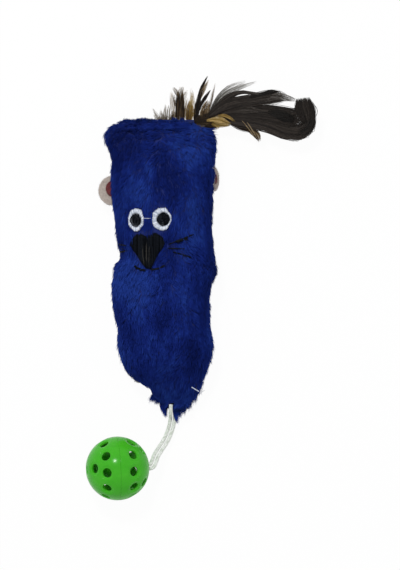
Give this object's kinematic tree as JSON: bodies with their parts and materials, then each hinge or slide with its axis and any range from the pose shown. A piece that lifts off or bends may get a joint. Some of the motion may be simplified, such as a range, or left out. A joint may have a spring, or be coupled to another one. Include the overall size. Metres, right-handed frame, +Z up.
{
  "type": "plush cat toy",
  "caption": "Stuffed plush kicker toy with a stitched animal face, felt ears, feathers in the top seam and a perforated ball on a cord.",
  "frame": {"origin": "middle of the flat on the back that the toy lies on", "axes": "+Y along the toy towards the feathered top seam, +Z up through the stitched face, +X to the toy's right in the picture"},
  "size_m": [0.1488, 0.2786, 0.0463],
  "materials": {
    "plush": "matte",
    "filling": "matte",
    "pouch": "matte",
    "stitch_white": "satin",
    "stitch_black": "satin",
    "felt_grey": "matte",
    "felt_red": "matte",
    "feather_grey": "satin",
    "feather_pale": "satin",
    "feather_brown": "satin",
    "feather_yellow": "satin",
    "cord": "matte",
    "ball_plastic": "gloss",
    "nylon": "satin"
  },
  "bodies": {
    "plush_body": {"front_cover": "plush", "back_cover": "plush", "head_filling": "filling", "body_filling": "filling", "catnip_pouch": "pouch", "eye_white_left": "stitch_white", "eye_white_right": "stitch_white", "pupil_left": "stitch_black", "pupil_right": "stitch_black", "nose": "stitch_black", "mouth_left": "stitch_black", "mouth_right": "stitch_black", "whisker_left_upper": "stitch_black", "whisker_left_middle": "stitch_black", "whisker_left_lower": "stitch_black", "whisker_right_upper": "stitch_black", "whisker_right_middle": "stitch_black", "whisker_right_lower": "stitch_black", "feather_binding": "feather_brown", "cord_anchor": "cord", "tag_fastener": "nylon"},
    "ear_left": {"ear_left": "felt_grey", "ear_lining_left": "felt_red"},
    "ear_right": {"ear_right": "felt_grey", "ear_lining_right": "felt_red"},
    "long_feathers": {"feather_long": "feather_grey", "feather_upper": "feather_grey", "feather_wispy": "feather_pale", "feather_fringe": "feather_brown", "feather_tuft": "feather_yellow"},
    "plumes": {"plume_tall": "feather_brown", "plume_brown": "feather_brown", "plume_yellow": "feather_yellow", "plume_sparse": "feather_pale"},
    "cord_knot": {"cord_knot": "cord"},
    "cord": {"cord_strand_left": "cord", "cord_strand_right": "cord", "ball_knot": "cord"},
    "ball": {"ball_half_left": "ball_plastic", "ball_half_right": "ball_plastic"}
  },
  "joints": [
    {"name": "ear_left_flap", "type": "hinge", "parent": "plush_body", "child": "ear_left", "pos_m": [-0.03337, 0.0524, 0.01903], "axis": [0, 1, 0], "range_deg": [-60, 60], "stiffness_Nm_per_rad": 0.0002},
    {"name": "ear_right_flap", "type": "hinge", "parent": "plush_body", "child": "ear_right", "pos_m": [0.03448, 0.06, 0.01901], "axis": [0, -1, 0], "range_deg": [-5, 115], "stiffness_Nm_per_rad": 0.0002},
    {"name": "long_feather_lift", "type": "hinge", "parent": "plush_body", "child": "long_feathers", "pos_m": [0.0256, 0.098, 0.01311], "axis": [0, -1, 0], "range_deg": [-8, 60], "stiffness_Nm_per_rad": 0.006},
    {"name": "plume_lift", "type": "hinge", "parent": "plush_body", "child": "plumes", "pos_m": [0.0114, 0.0985, 0.01311], "axis": [1, 0, 0], "range_deg": [-20, 60], "stiffness_Nm_per_rad": 0.001},
    {"name": "cord_swing", "type": "hinge", "parent": "plush_body", "child": "cord_knot", "pos_m": [0.007, -0.0901, 0.0095], "axis": [0, 0, 1], "range_deg": [-45, 45]},
    {"name": "cord_lift", "type": "hinge", "parent": "cord_knot", "child": "cord", "pos_m": [0.007, -0.0901, 0.0095], "axis": [-1, 0, 0], "range_deg": [0, 60]},
    {"name": "ball_spin", "type": "hinge", "parent": "cord", "child": "ball", "pos_m": [-0.0293, -0.1308, 0.021], "axis": [0.9895, 0.0446, -0.1376], "continuous": true}
  ]
}
